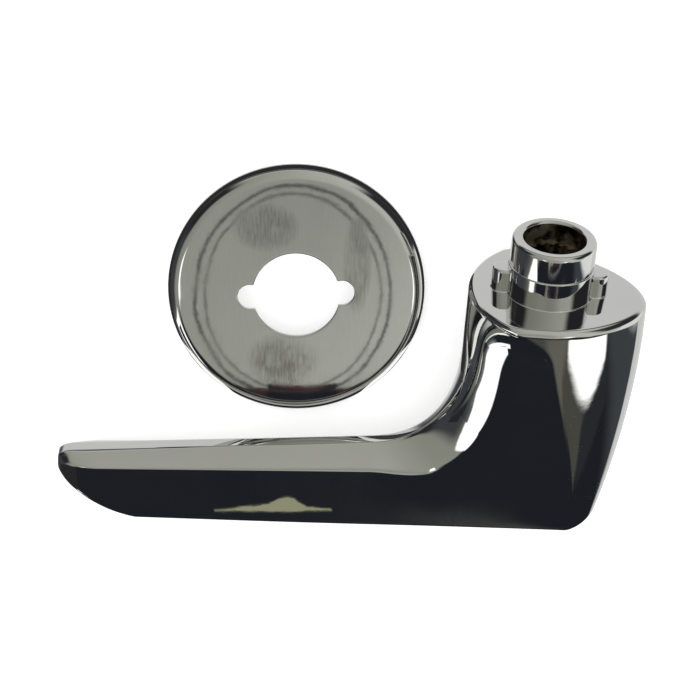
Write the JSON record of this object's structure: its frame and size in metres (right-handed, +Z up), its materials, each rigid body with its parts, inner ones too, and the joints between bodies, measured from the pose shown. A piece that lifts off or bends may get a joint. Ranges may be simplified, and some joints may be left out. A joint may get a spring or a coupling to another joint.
{
  "type": "car interior door handle",
  "caption": "Chrome-plated lever handle for a car's inside door, with a round hub, a splined boss and its loose domed escutcheon.",
  "frame": {"origin": "on the table, under the middle of the box round the lever and the escutcheon", "axes": "+Z up from the table, +X from the blade's tip toward the hub, +Y from the blade toward the boss's mouth"},
  "size_m": [0.1218, 0.0774, 0.0344],
  "materials": {
    "lever_chrome": "polished zinc casting, bright chrome plate",
    "plate_chrome": "pressed steel, chrome plate with fine brushing round the hole"
  },
  "bodies": {
    "root": {"lever_handle": "lever_chrome", "escutcheon": "plate_chrome"}
  },
  "joints": []
}
